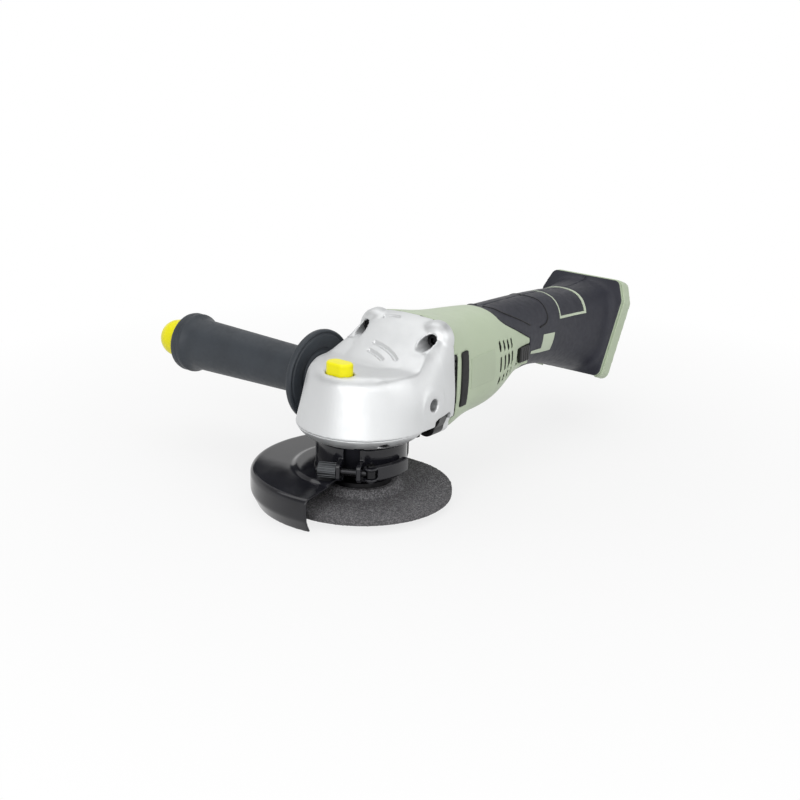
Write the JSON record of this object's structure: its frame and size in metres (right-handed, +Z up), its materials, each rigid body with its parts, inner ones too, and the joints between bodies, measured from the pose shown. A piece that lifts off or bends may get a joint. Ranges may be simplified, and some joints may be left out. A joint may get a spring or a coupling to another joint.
{
  "type": "cordless angle grinder",
  "caption": "Cordless angle grinder with a depressed-centre wheel, swivelling guard, side handle, spindle lock button and slide switch; battery foot open at the rear.",
  "frame": {"origin": "on the spindle axis, at the outer face of the wheel's lock nut", "axes": "+X back along the motor axis to the battery foot, +Y along the side handle, +Z up the spindle"},
  "size_m": [0.3453, 0.2505, 0.1107],
  "materials": {
    "cast_aluminium": "bead-blasted casting",
    "black_screw": "black oxide",
    "felt": "felt",
    "bearing_steel": "ground steel",
    "bronze": "sintered bronze",
    "steel": "machined steel",
    "gear_steel": "hardened steel",
    "abrasive": "bonded abrasive grain",
    "yellow_plastic": "moulded",
    "black_metal": "gloss black coat",
    "grey_knob": "satin grey",
    "green_plastic": "moulded, fine texture",
    "black_rubber": "soft rubber",
    "black_plastic": "moulded",
    "lamination": "stacked laminations",
    "copper": "enamelled wire",
    "board_green": "circuit board",
    "magnet": "plated",
    "grip_rubber": "soft overmould",
    "pale_inlay": "moulded",
    "lead_red": "insulated wire",
    "brass": "plated contact",
    "handle_rubber": "soft overmould"
  },
  "bodies": {
    "housing": {"air_baffle": "black_plastic", "battery_leads": "lead_red", "battery_plate": "black_plastic", "bearing_cover": "cast_aluminium", "bearing_holder": "black_plastic", "controller": "black_plastic", "cover_screws": "black_screw", "dust_seal": "felt", "foot_frame": "green_plastic", "front_bearing_outer": "bearing_steel", "gear_housing": "cast_aluminium", "grip_bands": "pale_inlay", "grip_inlays": "pale_inlay", "grip_left": "grip_rubber", "grip_right": "grip_rubber", "grip_screws": "black_screw", "handle_cap": "yellow_plastic", "handle_grip": "handle_rubber", "handle_stud": "steel", "housing_screws": "black_screw", "lock_springs": "steel", "micro_switch": "black_plastic", "motor_housing": "green_plastic", "motor_leads": "lead_red", "rear_bearing_outer": "bearing_steel", "sensor_board": "board_green", "side_pads": "black_rubber", "spindle_bearing_outer": "bearing_steel", "spindle_bush": "bronze", "stator_coils": "copper", "stator_core": "lamination", "terminal_block": "black_plastic", "terminals": "brass"},
    "spindle_set": {"spindle": "steel", "gear_key": "steel", "bevel_gear": "gear_steel", "gear_clip": "steel", "spindle_bearing_inner": "bearing_steel", "inner_flange": "steel", "grinding_wheel": "abrasive", "wheel_bushing": "steel", "lock_nut": "steel"},
    "rotor": {"rotor_shaft": "steel", "pinion": "gear_steel", "pinion_nut": "steel", "fan": "black_plastic", "rotor_core": "lamination", "rotor_magnets": "magnet", "front_bearing_inner": "bearing_steel", "rear_bearing_inner": "bearing_steel"},
    "lock": {"lock_button": "yellow_plastic", "lock_pin": "steel"},
    "guard": {"guard_shell": "black_metal", "guard_collar": "black_metal", "clamp_screw": "steel", "clamp_adjuster": "grey_knob", "lever_pin": "steel"},
    "lever": {"clamp_lever": "black_metal"},
    "switch": {"switch_knob": "black_plastic", "switch_rod": "black_plastic"}
  },
  "joints": [
    {"name": "spindle_spin", "type": "hinge", "parent": "housing", "child": "spindle_set", "pos_m": [0, 0, 0], "axis": [0, 0, 1], "continuous": true},
    {"name": "rotor_spin", "type": "hinge", "parent": "housing", "child": "rotor", "pos_m": [0, 0, 0.068], "axis": [1, 0, 0], "continuous": true},
    {"name": "lock_press", "type": "slide", "parent": "housing", "child": "lock", "axis": [0, 0, -1], "range_m": [0, 0.006], "stiffness_N_per_m": 700, "springref_m": -0.004, "deforming": ["lock_springs"]},
    {"name": "guard_turn", "type": "hinge", "parent": "housing", "child": "guard", "pos_m": [0, 0, 0], "axis": [0, 0, 1], "range_deg": [-90, 90]},
    {"name": "lever_open", "type": "hinge", "parent": "guard", "child": "lever", "pos_m": [-0.02368, -0.02666, 0.0265], "axis": [0, 0, -1], "range_deg": [0, 110]},
    {"name": "switch_slide", "type": "slide", "parent": "housing", "child": "switch", "axis": [-1, 0, 0], "range_m": [0, 0.006]}
  ],
  "couplings": [
    {"joint": "rotor_spin", "follows": "spindle_spin", "ratio": 3.4545}
  ]
}
